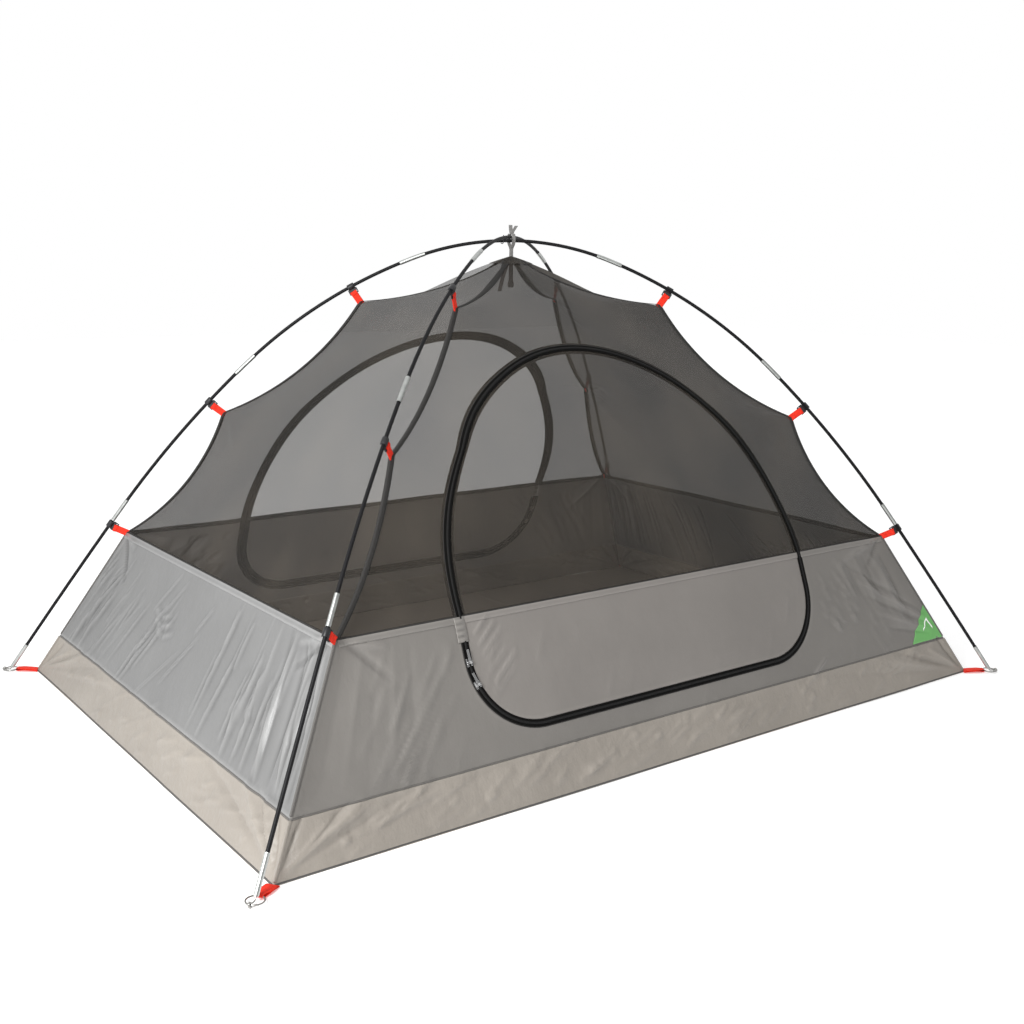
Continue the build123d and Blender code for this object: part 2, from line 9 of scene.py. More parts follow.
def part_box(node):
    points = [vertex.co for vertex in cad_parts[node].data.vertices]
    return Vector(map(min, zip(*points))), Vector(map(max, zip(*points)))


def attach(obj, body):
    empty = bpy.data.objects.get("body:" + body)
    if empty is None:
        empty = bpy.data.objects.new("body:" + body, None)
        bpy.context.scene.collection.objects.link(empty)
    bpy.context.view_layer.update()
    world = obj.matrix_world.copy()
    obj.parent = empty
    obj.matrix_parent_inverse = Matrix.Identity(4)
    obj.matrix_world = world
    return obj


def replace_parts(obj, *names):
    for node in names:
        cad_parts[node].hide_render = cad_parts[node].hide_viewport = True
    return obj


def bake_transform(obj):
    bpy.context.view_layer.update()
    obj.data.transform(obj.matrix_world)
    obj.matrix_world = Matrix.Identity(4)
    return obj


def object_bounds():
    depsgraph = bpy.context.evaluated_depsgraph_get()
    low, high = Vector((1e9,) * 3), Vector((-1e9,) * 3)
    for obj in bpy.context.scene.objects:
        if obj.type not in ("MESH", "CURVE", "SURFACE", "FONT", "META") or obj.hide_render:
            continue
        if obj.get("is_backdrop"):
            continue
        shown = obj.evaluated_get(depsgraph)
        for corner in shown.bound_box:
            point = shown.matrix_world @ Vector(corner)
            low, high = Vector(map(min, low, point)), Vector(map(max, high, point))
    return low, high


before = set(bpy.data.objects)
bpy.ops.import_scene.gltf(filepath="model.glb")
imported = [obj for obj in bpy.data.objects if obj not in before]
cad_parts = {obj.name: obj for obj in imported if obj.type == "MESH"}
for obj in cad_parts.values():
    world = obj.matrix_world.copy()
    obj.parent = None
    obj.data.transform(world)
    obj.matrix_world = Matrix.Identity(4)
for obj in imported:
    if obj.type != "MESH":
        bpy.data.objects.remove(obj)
cad_low, cad_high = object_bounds()
random = np.random.default_rng(7)

# -------- sizes

floor_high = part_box("floor_sheet")[1]
floor_reach = hypot(floor_high.x, floor_high.y)
along_x, along_y = floor_high.x / floor_reach, floor_high.y / floor_reach
skirt_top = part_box("bathtub_skirt")[1].z
panel_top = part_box("front_lower_wall")[1].z
mesh_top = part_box("front_mesh")[1].z
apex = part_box("crown_patch")[1].z

# Corners of a leg seam, as distance from the middle and height, and how far it hangs in after each
seam_corners = [(floor_reach, 0.0), (1.0134, panel_top), (0.7484, 0.7066), (0.3878, 0.9978), (0.0, apex)]
seam_sags = (0.0, 0.038, 0.038, 0.025)
# A wall's middle line above the lower panel: a Bezier curve, since the cloth there doesn't follow the clips
middle_pulls = ((0.83, 0.62), (0.46, 1.02))
edge_share = 0.45  # share of the half width over which the wall turns from its seam to its middle line

door_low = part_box("front_door_zip")[0]
zip_outer = 0.006  # the CAD zip's outer edge, measured from the door's outline
door_half = 0.520
door_middle = door_low.x + zip_outer + door_half
door_left, door_right = door_middle - door_half, door_middle + door_half
door_shoulder = 0.380
door_corner = 0.165
door_bottom = 0.150
hinge_low, hinge_high = 0.338, 0.380
wall_lean = np.arctan2(panel_top, along_y * (floor_reach - seam_corners[1][0]))
arch_lean = 0.79  # rise of the arch's edge for each unit across the cloth
arch_points, corner_points = 140, 30

walls = ("front", "rear", "left", "right")
legs = {"front_left": (-1, -1), "front_right": (1, -1), "rear_left": (-1, 1), "rear_right": (1, 1)}


def smooth(t):
    """Soft step from 0 to 1."""
    t = np.clip(t, 0.0, 1.0)
    return t * t * (3 - 2 * t)


def arc_through(start, end, sag, count):
    """Points of an arc that hangs in by sag between two corners."""
    start, end = np.array(start), np.array(end)
    if not sag:
        return start + np.linspace(0, 1, count)[:, None] * (end - start)
    chord = np.linalg.norm(end - start)
    onward = (end - start) / chord
    inward = np.array([-onward[1], onward[0]])
    if inward[1] > 0:
        inward = -inward
    radius = (chord**2 / 4 + sag**2) / (2 * sag)
    half_turn = np.arcsin(chord / 2 / radius)
    turn = np.linspace(-half_turn, half_turn, count)
    middle = (start + end) / 2
    rise = np.cos(turn) - cos(half_turn)
    return middle + radius * (np.sin(turn)[:, None] * onward + rise[:, None] * inward)


def seam_line():
    """Points of a leg seam from the floor to the apex."""
    arcs = [
        arc_through(a, b, sag, 60)
        for a, b, sag in zip(seam_corners, seam_corners[1:], seam_sags)
    ]
    return np.concatenate([arcs[0]] + [arc[1:] for arc in arcs[1:]])


def middle_line():
    """Points of a wall's middle line from the floor to the apex, as reach and height."""
    t = np.linspace(0, 1, 120)[:, None]
    a, b, c, d = (np.array(p) for p in (seam_corners[1], *middle_pulls, seam_corners[-1]))
    curve = (1 - t) ** 3 * a + 3 * (1 - t) ** 2 * t * b + 3 * (1 - t) * t**2 * c + t**3 * d
    return np.concatenate([[seam_corners[0]], curve])


seam = seam_line()
middle = middle_line()


def seam_reach(z):
    return np.interp(z, seam[:, 1], seam[:, 0])


def shares(wall):
    """Shares of a seam's reach that a wall stands out from the middle and runs along."""
    return (along_x, along_y) if wall in ("left", "right") else (along_y, along_x)


def stand_out(wall, x, z):
    """How far the smooth cloth of a wall stands out from the middle."""
    out_share, along_share = shares(wall)
    reach = seam_reach(z)
    inside = 1 - np.abs(x) / np.maximum(along_share * reach, 1e-6)
    share = smooth(inside / edge_share)
    return out_share * (reach * (1 - share) + np.interp(z, middle[:, 1], middle[:, 0]) * share)


def place(wall, x, out, z):
    """A wall's own coordinates to the shared frame."""
    turned = {"front": (x, -out), "rear": (-x, out), "left": (-out, -x), "right": (out, x)}[wall]
    return np.stack([*turned, z * np.ones_like(x)], axis=-1)


# -------- door outline

def door_outline(grow):
    """The door's outline moved out by grow: from the hinge seam over the arch and round to its foot."""
    rx, rz = door_half + grow, door_half + grow * arch_lean
    turn = np.linspace(pi, 0, arch_points)
    arch = np.stack([door_middle + rx * np.cos(turn), door_shoulder + rz * np.sin(turn)], -1)
    corner_z = door_bottom + door_corner * sin(wall_lean)
    rx = door_corner + grow
    rz = rx * sin(wall_lean)
    flat = door_half - door_corner
    turn = np.linspace(0, pi / 2, corner_points)
    right = np.stack([door_middle + flat + rx * np.cos(turn), corner_z - rz * np.sin(turn)], -1)
    left = np.stack([door_middle - flat - rx * np.sin(turn), corner_z - rz * np.cos(turn)], -1)
    right_side = line((door_right + grow, door_shoulder), right[0], 12)
    bottom = line(right[-1], left[0], 90)
    left_side = line(left[-1], (left[-1][0], hinge_low), 6)
    return np.concatenate([arch] + [part[1:] for part in (right_side, right, bottom, left, left_side)])


def line(start, end, count):
    start, end = np.array(start, float), np.array(end, float)
    return start + np.linspace(0, 1, count)[:, None] * (end - start)


def path_lengths(points):
    """Distance of each point from the first, along a line."""
    return np.concatenate([[0], np.cumsum(np.linalg.norm(np.diff(points, axis=0), axis=1))])


def resample(points, count):
    """The same line with evenly spaced points."""
    steps = path_lengths(points)
    at = np.linspace(0, steps[-1], count)
    return np.stack([np.interp(at, steps, points[:, k]) for k in range(points.shape[1])], -1)


outline_points = door_outline(0.0)[::3]


def door_distance(x, z):
    """Distance from points on a wall to the door's outline."""
    shape = x.shape
    flat = np.stack([x.ravel(), z.ravel()], -1)
    nearest = np.full(len(flat), 9.0)
    for point in outline_points:
        nearest = np.minimum(nearest, np.hypot(*(flat - point).T))
    return nearest.reshape(shape)


# -------- creases

def spread(low, high):
    """A seeded random number between two."""
    return low + (high - low) * random.random()


def skirt_creases(wall):
    """The skirt's folds: a fan from each pegged corner and short slanting ones along it."""
    along_share = shares(wall)[1]
    for side in (-1, 1):
        foot = side * along_share * floor_reach
        for k in range(9):
            far = 0.035 + 0.05 * k * spread(0.9, 1.3)
            height = (0.0056 - 0.0004 * k) * (1 if k % 2 else -1)
            yield (foot - side * 0.012, 0.010,
                   foot - side * (far + 0.05), skirt_top * spread(0.8, 1.1), height, 0.006 + 0.0011 * k)
    half = along_share * floor_reach - 0.1
    for _ in range(int(90 * half)):
        x, z, run = spread(-half, half), spread(0.01, 0.08), spread(0.02, 0.10)
        yield x, z, x + run, z + run * spread(0.15, 0.6), spread(0.0008, 0.0026), spread(0.004, 0.008)


def end_wall_creases(wall):
    """Creases of a wall without a door: upright by its near leg, slanting by its far one, calm between."""
    corner = shares(wall)[1] * seam_corners[1][0]
    for k in range(9):  # broad soft folds beside the near leg
        inset = 0.022 + 0.034 * k * spread(0.9, 1.15)
        lean = 0.11 * max(0.0, 1 - inset / 0.30)
        low = skirt_top + 0.015 + 0.10 * random.random() * (k > 3)
        yield (corner - inset, panel_top - 0.012, corner - inset + lean, low,
               (0.0060 - 0.0005 * k) * (1 if k % 2 else -0.8), 0.009 + 0.001 * k)
    for _ in range(34):  # sharp streaks on and between them
        inset = 0.015 + 0.42 * random.random() ** 1.6
        lean = 0.11 * max(0.0, 1 - inset / 0.30)
        high = panel_top - spread(0.005, 0.13)
        low = max(skirt_top + 0.01, high - spread(0.06, 0.26))
        share = (panel_top - high) / (panel_top - skirt_top)
        run = lean * (high - low) / (panel_top - skirt_top)
        x = corner - inset + lean * share
        yield (x, high, x + run + spread(-0.012, 0.012), low,
               spread(0.0014, 0.0040), spread(0.0030, 0.0060))
    for _ in range(46):  # fine ones slanting down to the far leg
        inset = 0.02 + 0.62 * random.random() ** 1.3
        high = panel_top - spread(0.012, 0.16)
        run = spread(0.04, 0.20)
        x = -corner + inset
        yield (x, high, x - run * spread(0.35, 0.75), max(skirt_top, high - run),
               spread(0.0010, 0.0030), spread(0.0028, 0.0050))
    for k in range(3):  # folds left from packing, in the calm part
        x, z = -0.16 + 0.022 * k, 0.262 - 0.016 * k
        yield x - 0.05, z + 0.014, x, z, 0.0020, 0.004
        yield x, z, x + 0.05, z + 0.016, 0.0020, 0.004


def door_wall_creases(wall):
    """Creases of a wall with a door, and of the door."""
    corner = shares(wall)[1] * seam_corners[1][0]
    for k in range(6):  # soft folds along the far leg
        x = corner - (0.035 + 0.036 * k)
        yield (x, panel_top - 0.03, x + 0.09 - 0.006 * k, skirt_top + 0.045 + 0.018 * k,
               0.0040 * (1 if k % 2 else -0.7) * (1 - 0.1 * k), 0.011)
    foot = along_x * float(seam_reach(skirt_top))
    for k in range(5):  # drawn to the low corner of the far leg
        yield (foot - 0.05, skirt_top + 0.02 + 0.012 * k,
               foot - 0.22 - 0.03 * k, skirt_top + 0.06 + 0.045 * k, 0.0030 * (1 if k % 2 else -0.8), 0.007)
    for _ in range(16):  # finer ones between them
        x, z, run = corner - spread(0.01, 0.16), spread(0.17, 0.36), spread(0.04, 0.12)
        yield x, z, x + run * 0.55, z - run, spread(0.0006, 0.0016), spread(0.004, 0.007)
    for _ in range(26):  # crumpled beside the door
        x, z, run = door_right + spread(0.04, 0.16), spread(0.20, 0.36), spread(0.015, 0.05)
        yield x, z, x + run * spread(0.4, 1), z - run, spread(0.0010, 0.0024), spread(0.004, 0.006)
    for k in range(5):  # near leg
        x = -corner + (0.02 + 0.035 * k)
        yield (x, panel_top - 0.02, x - 0.12 + 0.02 * k, skirt_top + 0.02,
               0.0011 * (1 if k % 2 else -0.8), 0.010)
    for _ in range(22):  # pulled by the sliders, out over the wall
        x, z = door_left - spread(0.03, 0.20), spread(0.20, 0.35)
        run = spread(0.05, 0.17)
        yield x, z, x - run * spread(0.6, 0.95), z - run, spread(0.0007, 0.0018), spread(0.004, 0.008)
    for k in range(7):  # and short ones on the door
        x, z = door_left + 0.022 + 0.006 * k, 0.362 - 0.018 * k
        run = spread(0.03, 0.075)
        yield x, z - run * 0.35, x + run, z + run * 0.45, spread(0.0010, 0.0022), spread(0.003, 0.005)
    for _ in range(16):  # faint ones all over
        x, z, run = spread(-0.8, 0.8), spread(0.13, 0.35), spread(0.04, 0.13)
        yield x, z, x - run * 0.5, z - run, spread(0.0004, 0.0009), spread(0.006, 0.012)


def netting_creases(wall):
    """Folds of the mesh, pulled towards each clip."""
    along_share = shares(wall)[1]
    for side in (-1, 1):
        for (reach, height), fan in zip(seam_corners[1:4], (4, 6, 6)):
            for k in range(fan):
                angle = radians(-52 + 100 * (k + spread(0.4, 0.6)) / fan)
                start = side * along_share * reach
                long = spread(0.10, 0.20)
                yield (start - side * 0.012, height,
                       start - side * long * cos(angle), height + long * sin(angle),
                       0.0032 * (1 if k % 2 else -1), 0.008)


def crease_list(wall):
    """Creases of a wall: two ends, height and half width. A height below zero is a groove."""
    lower = door_wall_creases if wall in ("front", "rear") else end_wall_creases
    kinds = (skirt_creases, netting_creases, lower)
    return np.array([crease for kind in kinds for crease in kind(wall)])


crease_table = {wall: crease_list(wall) for wall in walls}
wave_table = {wall: random.uniform((4, 6, 0), (16, 22, 6.28), (5, 3)) for wall in walls}
crease_gain = 2.3  # how much deeper than the lists above say, over all
wave_height = 0.0030


def creases(wall, x, z):
    """How far the creased cloth stands out beyond the smooth one."""
    along_share = shares(wall)[1]
    lift = np.zeros_like(x)
    for x1, z1, x2, z2, height, width in crease_table[wall]:
        run = np.array([x2 - x1, z2 - z1])
        length = np.hypot(*run)
        t = ((x - x1) * run[0] + (z - z1) * run[1]) / length**2
        off = np.abs((x - x1) * run[1] - (z - z1) * run[0]) / length
        taper = np.clip(4 * t * (1 - t), 0, 1) ** 0.7
        sharp = np.sqrt((off / width) ** 2 + 0.02)
        lift += height * taper * np.exp(-sharp * 1.2)
    waves = sum(np.sin(p * x + q * z + s) for p, q, s in wave_table[wall]) / 5
    lift = crease_gain * lift + wave_height * waves
    seam_gap = along_share * seam_reach(z) - np.abs(x)
    calm = smooth(seam_gap / 0.022)
    if wall in ("front", "rear"):
        calm = calm * (0.15 + 0.85 * smooth(door_distance(x, z) / 0.05))
    above = smooth((z - panel_top) / 0.3)
    return lift * calm * (1 - 0.35 * above)


def on_wall(wall, x, z, lift=0.0, creased=True):
    """Points of a wall's cloth in the shared frame, lifted off it along its normal."""
    x, z = np.asarray(x, float), np.asarray(z, float)
    step = 0.002
    out = stand_out(wall, x, z)
    slope_x = (stand_out(wall, x + step, z) - stand_out(wall, x - step, z)) / (2 * step)
    slope_z = (stand_out(wall, x, z + step) - stand_out(wall, x, z - step)) / (2 * step)
    size = np.sqrt(1 + slope_x**2 + slope_z**2)
    if creased:
        lift = lift + creases(wall, x, z)
    return place(wall, x - lift * slope_x / size, out + lift / size, z - lift * slope_z / size)


# -------- mesh helpers

def add_object(name, data):
    """An object of the scene."""
    obj = bpy.data.objects.new(name, data)
    bpy.context.scene.collection.objects.link(obj)
    return obj


def grid_object(name, points, finish, close_columns=False):
    """A smooth mesh through a grid of points, with its UVs in metres along and across the grid."""
    rows, columns = points.shape[:2]
    mesh = bpy.data.meshes.new(name)
    column_ids = np.arange(columns if close_columns else columns - 1)
    i, j = np.meshgrid(np.arange(rows - 1), column_ids, indexing="ij")
    here, there = i * columns, (i + 1) * columns
    j2 = (j + 1) % columns
    faces = np.stack([here + j, here + j2, there + j2, there + j], -1).reshape(-1, 4)
    mesh.from_pydata(points.reshape(-1, 3).tolist(), [], faces.tolist())
    along, across = path_lengths(points[rows // 2]), path_lengths(points[:, columns // 2])
    uvs = mesh.uv_layers.new(name="UVMap")
    corners = np.stack([along[faces % columns], across[faces // columns]], -1).reshape(-1)
    if not close_columns:
        uvs.data.foreach_set("uv", corners.astype(np.float32))
    mesh.shade_smooth()
    mesh.materials.append(finish)
    return add_object(name, mesh)


def thicken(obj, thickness):
    """Give a cloth its thickness, inwards and outwards alike."""
    solidify = obj.modifiers.new("thickness", "SOLIDIFY")
    solidify.thickness = thickness
    solidify.offset = 0.0


def soften(obj, width, segments=2):
    """Round the sharp edges of a CAD part."""
    weld = obj.modifiers.new("weld", "WELD")
    weld.merge_threshold = 1e-5
    bevel = obj.modifiers.new("round", "BEVEL")
    bevel.width = width
    bevel.segments = segments
    bevel.limit_method = "ANGLE"
    bevel.angle_limit = radians(35)


def loft(a, b, rows):
    """Rows of points from one line to another with as many points."""
    t = np.linspace(0, 1, rows)[:, None, None]
    return a[None] * (1 - t) + b[None] * t


def surface_area(points):
    """Area of a grid of points."""
    a, b, c = points[:-1, :-1], points[1:, :-1], points[:-1, 1:]
    return float(np.linalg.norm(np.cross(b - a, c - a), axis=-1).sum())


# -------- finishes

wave_bands = 3.183  # bands that a wave texture has to the unit at scale 1: 20 / 2 pi


def add_node(tree, kind, **settings):
    """A new node of a node tree."""
    made = tree.nodes.new(kind)
    for key, value in settings.items():
        setattr(made, key, value)
    return made


class Finish:
    """A Principled material built up step by step."""

    def __init__(self, name, colour, roughness, **constants):
        self.material = bpy.data.materials.new(name)
        self.material.use_nodes = True
        self.tree = self.material.node_tree
        self.shader = self.tree.nodes["Principled BSDF"]
        self.shader.inputs["Base Color"].default_value = (*colour, 1)
        self.shader.inputs["Roughness"].default_value = roughness
        self.colour = colour
        for key, value in constants.items():
            self.shader.inputs[key.replace("_", " ")].default_value = value
        self.coords = self.node("ShaderNodeTexCoord")
        self.height = None

    def node(self, kind, **settings):
        return add_node(self.tree, kind, **settings)

    def link(self, a, b):
        self.tree.links.new(a, b)

    def noise(self, scale, detail, stretch=(1, 1, 1)):
        mapping = self.node("ShaderNodeMapping")
        mapping.inputs["Scale"].default_value = stretch
        self.link(self.coords.outputs["Object"], mapping.inputs["Vector"])
        noise = self.node("ShaderNodeTexNoise")
        noise.inputs["Scale"].default_value = scale
        noise.inputs["Detail"].default_value = detail
        self.link(mapping.outputs["Vector"], noise.inputs["Vector"])
        return noise.outputs["Fac"]

    def wave(self, bands, direction, space="UV"):
        wave = self.node("ShaderNodeTexWave", bands_direction=direction)
        wave.inputs["Scale"].default_value = bands / wave_bands
        self.link(self.coords.outputs[space], wave.inputs["Vector"])
        return wave.outputs["Fac"]

    def weave(self, threads):
        """Over and under of two sets of threads, so many to the metre."""
        warp, weft = (self.wave(threads, direction, "Object") for direction in "XZ")
        both = self.node("ShaderNodeMath", operation="MULTIPLY")
        self.link(warp, both.inputs[0])
        self.link(weft, both.inputs[1])
        return both.outputs[0]

    def spread_out(self, factor, **limits):
        """A value stretched to other limits."""
        made = self.node("ShaderNodeMapRange")
        for key, value in limits.items():
            made.inputs[key.replace("_", " ")].default_value = value
        self.link(factor, made.inputs["Value"])
        return made.outputs["Result"]

    def tones(self, factor, light, low=0.35, high=0.65):
        """Vary the base colour between it and light times it."""
        ramp = self.node("ShaderNodeValToRGB")
        lighter = [min(1, c * light) for c in self.colour]
        stops = zip(ramp.color_ramp.elements, (low, high), (self.colour, lighter))
        for element, position, colour in stops:
            element.position = position
            element.color = (*colour, 1)
        self.link(factor, ramp.inputs["Fac"])
        self.link(ramp.outputs["Color"], self.shader.inputs["Base Color"])

    def paint_fold_highlight_and_shade(self, amount):
        """Painted highlight and painted shade: lighten the base colour on the crest of each fold, where cloth
        shines, and darken it in the grooves.
        """
        fold = self.node("ShaderNodeNewGeometry").outputs["Pointiness"]
        light = self.spread_out(fold, From_Min=0.46, From_Max=0.54, To_Min=1 - amount, To_Max=1 + amount)
        scale = self.node("ShaderNodeVectorMath", operation="SCALE")
        base = self.shader.inputs["Base Color"]
        self.link(base.links[0].from_socket, scale.inputs[0])
        self.link(light, scale.inputs["Scale"])
        self.link(scale.outputs["Vector"], base)

    def rough(self, factor, low, high):
        """Vary the roughness between two values."""
        self.link(self.spread_out(factor, To_Min=low, To_Max=high), self.shader.inputs["Roughness"])

    def relief(self, factor, distance, strength=1.0):
        """Add one layer of bump, on top of those before it."""
        bump = self.node("ShaderNodeBump")
        bump.inputs["Distance"].default_value = distance
        bump.inputs["Strength"].default_value = strength
        self.link(factor, bump.inputs["Height"])
        if self.height:
            self.link(self.height, bump.inputs["Normal"])
        self.height = bump.outputs["Normal"]
        self.link(self.height, self.shader.inputs["Normal"])


def cloth(name, colour, roughness, crinkle=0.0012, painted_fold_contrast=0.16, **constants):
    """Thin coated polyester: fine plain weave, small crinkles, uneven sheen, with a painted highlight on fold
    crests and painted shade in fold grooves.
    """
    made = Finish(name, colour, roughness, **constants)
    made.tones(made.noise(5, 4), 1.10)
    # painted highlight on fold crests, painted shade in fold grooves
    made.paint_fold_highlight_and_shade(painted_fold_contrast)
    made.rough(made.noise(14, 5), roughness - 0.08, roughness + 0.10)
    made.relief(made.noise(22, 6, (1, 1, 0.55)), crinkle * 3, 0.5)
    made.relief(made.noise(90, 3), crinkle * 0.5, 0.5)
    made.relief(made.weave(900), 0.00008, 0.6)
    return made.material


def webbing(name, colour, roughness=0.75, ribs=420, **constants):
    """Woven tape with ribs across and a soft, fibrous surface."""
    made = Finish(name, colour, roughness, **constants)
    made.tones(made.noise(260, 4), 1.35)
    made.relief(made.wave(ribs, "X"), 0.0003, 0.7)
    made.relief(made.wave(ribs, "Y"), 0.00015, 0.5)
    made.relief(made.noise(1400, 2), 0.0001, 0.5)
    return made.material


def netting(name, colour, alpha):
    """Fine insect mesh, seen through between its threads."""
    made = Finish(name, colour, 0.7, Alpha=alpha)
    made.tones(made.noise(5, 6, (1, 1, 0.5)), 2.6, 0.38, 0.66)
    made.relief(made.weave(700), 0.0001, 0.6)
    return made.material


def metal(name, colour, roughness, grain=900):
    """Drawn or cast metal with fine lengthwise scratches."""
    made = Finish(name, colour, roughness, Metallic=1.0)
    made.tones(made.noise(60, 5), 0.82)
    made.rough(made.noise(grain, 3, (1, 1, 0.1)), roughness - 0.06, roughness + 0.12)
    made.relief(made.noise(grain, 2, (1, 1, 0.1)), 0.00003, 0.4)
    return made.material


def plastic(name, colour, roughness, grain=1500):
    """Moulded plastic with a fine grain."""
    made = Finish(name, colour, roughness, Specular_IOR_Level=0.3)
    made.tones(made.noise(90, 4), 1.8)
    made.rough(made.noise(50, 4), roughness - 0.06, roughness + 0.1)
    made.relief(made.noise(grain, 2), 0.00004, 0.5)
    return made.material


def pole_finish():
    """Wound glass fibre: satin black with a faint spiral and lengthwise streaks."""
    made = Finish("pole_black", (0.004, 0.004, 0.0045), 0.5, Specular_IOR_Level=0.16)
    made.tones(made.noise(700, 4, (1, 1, 0.2)), 2.2)
    made.rough(made.noise(120, 4), 0.42, 0.60)
    made.relief(made.noise(900, 2, (1, 1, 0.15)), 0.00004, 0.5)
    return made.material


wall_cloth = cloth("wall_grey", (0.156, 0.147, 0.136), 0.38)
# the rear wall is the front's cloth painted lighter: painted light standing in for the white backdrop shining
# through it
backlit_rear_cloth = cloth("wall_grey_painted_backlight", (0.250, 0.235, 0.220), 0.42)
# the end walls carry the strongest painted highlight and painted shade on their folds
end_cloth = cloth("wall_cool_grey", (0.145, 0.145, 0.144), 0.36, painted_fold_contrast=0.42)
door_cloth = cloth("door_grey", (0.182, 0.169, 0.157), 0.36)
wall_cloths = {"front": wall_cloth, "rear": backlit_rear_cloth, "left": end_cloth, "right": end_cloth}
door_cloths = {"front": door_cloth, "rear": backlit_rear_cloth}
skirt_cloth = cloth("skirt_beige", (0.240, 0.217, 0.190), 0.44, crinkle=0.0034, painted_fold_contrast=0.06)
# the groundsheet is the skirt's fabric, painted lighter than the skirt: painted light standing in for light
# reaching inside the tent
floor_cloth = cloth("floor_taupe", (0.28, 0.243, 0.206), 0.55)
seam_cloth = cloth("seam_grey", (0.085, 0.080, 0.074), 0.5)
edge_cloth = cloth("edge_dark", (0.05, 0.049, 0.047), 0.6)
patch_cloth = cloth("patch_green", (0.125, 0.36, 0.105), 0.5)
mark_cloth = cloth("patch_mark", (0.75, 0.76, 0.74), 0.5)
# How dense each wall's mesh is. It is one fabric, so the differences between walls are painted shade, making two
# of them, one behind the other, look as dark as they should
net_alphas = {"left": 0.47, "right": 0.90, "front": 0.58, "rear": 0.78,
              "front_door": 0.58, "rear_door": 0.60, "crown": 0.80}
net_colour = (0.019, 0.0155, 0.0115)
nets = {part: netting(f"netting_{part}", net_colour, alpha) for part, alpha in net_alphas.items()}
binding_tape = webbing("binding_dark", (0.026, 0.025, 0.024), 0.85, ribs=700, Specular_IOR_Level=0.2)
zip_tape = webbing("zip_tape_black", (0.0045, 0.0044, 0.0042), 0.9, ribs=900, Specular_IOR_Level=0.06)
inner_zip_tape = webbing("zip_tape_dark", (0.005, 0.005, 0.0048), 0.9, ribs=900, Specular_IOR_Level=0.05)
zip_coil = webbing("zip_coil_black", (0.007, 0.007, 0.007), 0.6, ribs=560, Specular_IOR_Level=0.16)
red_tape = webbing("webbing_red", (0.62, 0.024, 0.010), 0.7, ribs=620, Specular_IOR_Level=0.2)
grey_tape = webbing("tape_grey", (0.165, 0.162, 0.157), 0.7, ribs=620)
dark_tape = webbing("tape_dark", (0.038, 0.031, 0.030), 0.8, ribs=620, Specular_IOR_Level=0.25)
pole_black = pole_finish()
bare_metal = metal("ferrule_metal", (0.50, 0.515, 0.50), 0.36)
ring_steel = metal("ring_steel", (0.34, 0.335, 0.32), 0.26)
zip_metal = metal("slider_metal", (0.66, 0.66, 0.66), 0.18)
clip_black = plastic("clip_black", (0.012, 0.012, 0.013), 0.38)
elastic = webbing("elastic_black", (0.02, 0.02, 0.02), 0.85, ribs=900)

# -------- CAD nodes that stay

node_finishes = (
    ("section", pole_black),
    ("ferrules", bare_metal),
    ("tips", bare_metal),
    ("shock_cords", elastic),
    ("pole_clips", clip_black),
    ("rings", ring_steel),
    ("pins", ring_steel),
    ("slider", zip_metal),
    ("pull", zip_metal),
)
for name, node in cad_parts.items():
    for part, finish in node_finishes:
        if name.endswith(part) or part + "_" in name:
            node.data.materials.clear()
            node.data.materials.append(finish)
    if name.endswith("pole_clips"):
        soften(node, 0.0007)
    if name.endswith(("slider", "pull")):
        soften(node, 0.0004)

# -------- walls

cloth_thickness = 0.0008
hem = 0.013
tape_edge = 0.0068  # the wall's cloth reaches to this distance from the door's outline
door_gap = 0.006  # and the door's own cloth to this one
seam_inset = 0.004
side_steps, bottom_steps = 52, 320  # points of a wall's edge beside the door and below it


def seam_side(wall, side, low, high, count):
    """Edge of a wall along its seam, between two heights."""
    z = np.linspace(low, high, count)
    return np.stack([side * shares(wall)[1] * seam_reach(z), z], -1)


def plain_grid(wall, low, high, columns, rows):
    """Grid across a whole wall between two heights."""
    z = np.linspace(low, high, rows)[:, None] * np.ones((1, columns))
    x = np.linspace(-1, 1, columns)[None] * shares(wall)[1] * seam_reach(z)
    return np.stack([x, z], -1)


def grid_below_door(wall):
    """Lower wall of a door side: from the door's outline out to the seams and the skirt."""
    outline = door_outline(tape_edge)[arch_points // 2:]
    corner = door_bottom + door_corner * (1 - cos(pi / 4)) * sin(wall_lean)
    door_edge = outline[outline[:, 1] <= panel_top]
    left_side = line(door_edge[-1], (door_edge[-1][0], panel_top), 8)[1:]
    whole = np.concatenate([[(door_right + tape_edge, panel_top)], door_edge, left_side])
    turn_right = np.argmax((whole[:, 1] < corner) & (whole[:, 0] > door_middle))
    turn_left = len(whole) - np.argmax((whole[::-1, 1] < corner) & (whole[::-1, 0] < door_middle))
    inner = np.concatenate([
        resample(whole[: turn_right + 1], side_steps),
        resample(whole[turn_right: turn_left], bottom_steps)[1:-1],
        resample(whole[turn_left - 1:], side_steps),
    ])
    right_foot = seam_side(wall, 1, panel_top, skirt_top, side_steps)
    left_foot = seam_side(wall, -1, skirt_top, panel_top, side_steps)
    bottom = line(right_foot[-1], left_foot[0], bottom_steps)[1:-1]
    outer = np.concatenate([right_foot, bottom, left_foot])
    return loft(inner, outer, 58)


def grid_above_door(wall):
    """Mesh of a door side: from the door's arch out to the seams and the crown."""
    arch = door_outline(tape_edge)[:arch_points]
    arch = arch[arch[:, 1] >= panel_top]
    ends = [[(x, panel_top)] for x in (door_left - tape_edge, door_right + tape_edge)]
    inner = resample(np.concatenate([ends[0], arch, ends[1]]), 201)
    left = resample(seam_side(wall, -1, panel_top, mesh_top, 200), 100)
    right = resample(seam_side(wall, 1, mesh_top, panel_top, 200), 100)
    return loft(inner, np.concatenate([left, [(0.0, mesh_top)], right]), 40)


